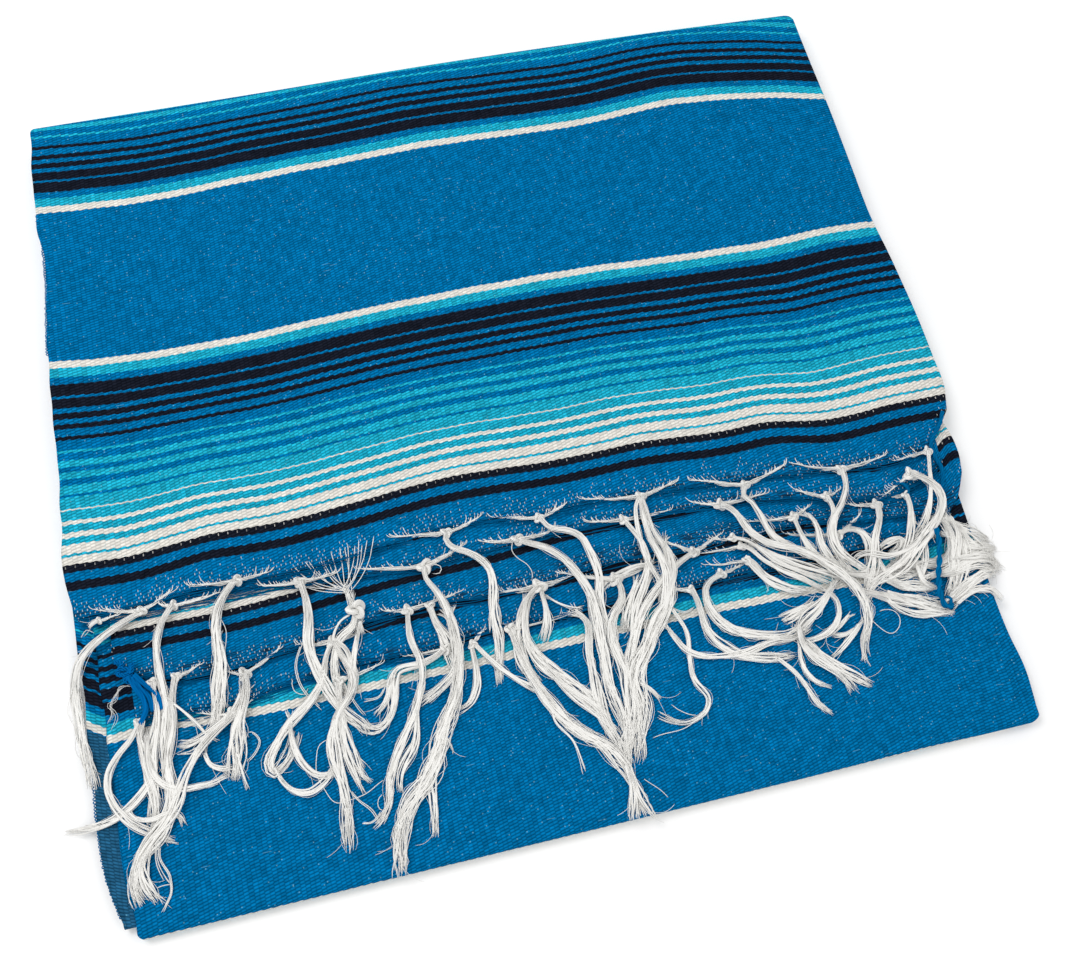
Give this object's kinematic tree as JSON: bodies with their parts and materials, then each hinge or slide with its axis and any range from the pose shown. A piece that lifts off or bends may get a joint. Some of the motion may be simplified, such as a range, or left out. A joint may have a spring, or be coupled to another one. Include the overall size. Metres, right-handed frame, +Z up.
{
  "type": "folded mexican serape",
  "caption": "Striped woven blanket with knotted white fringe, folded into a flat rectangle with its fringed ends turned over on top.",
  "frame": {"origin": "middle of the footprint on the resting surface", "axes": "+X along the stripes towards the folded side, +Y from the front fold to the far fold, +Z up"},
  "size_m": [0.7289, 0.6612, 0.0271],
  "materials": {
    "striped_cloth": "matt woven cotton and acrylic, blue with white, light blue and black stripes",
    "fringe_cotton": "matt white cotton warp yarn"
  },
  "bodies": {
    "root": {"top_layer": "striped_cloth", "second_layer_end": "striped_cloth", "third_layer_end": "striped_cloth", "fourth_layer_end": "striped_cloth", "lower_layer": "striped_cloth", "inner_layer": "striped_cloth", "hidden_layers": "striped_cloth", "fringe_row_1": "fringe_cotton", "fringe_row_2": "fringe_cotton", "fringe_row_3": "fringe_cotton", "fringe_row_4": "fringe_cotton"}
  },
  "joints": []
}
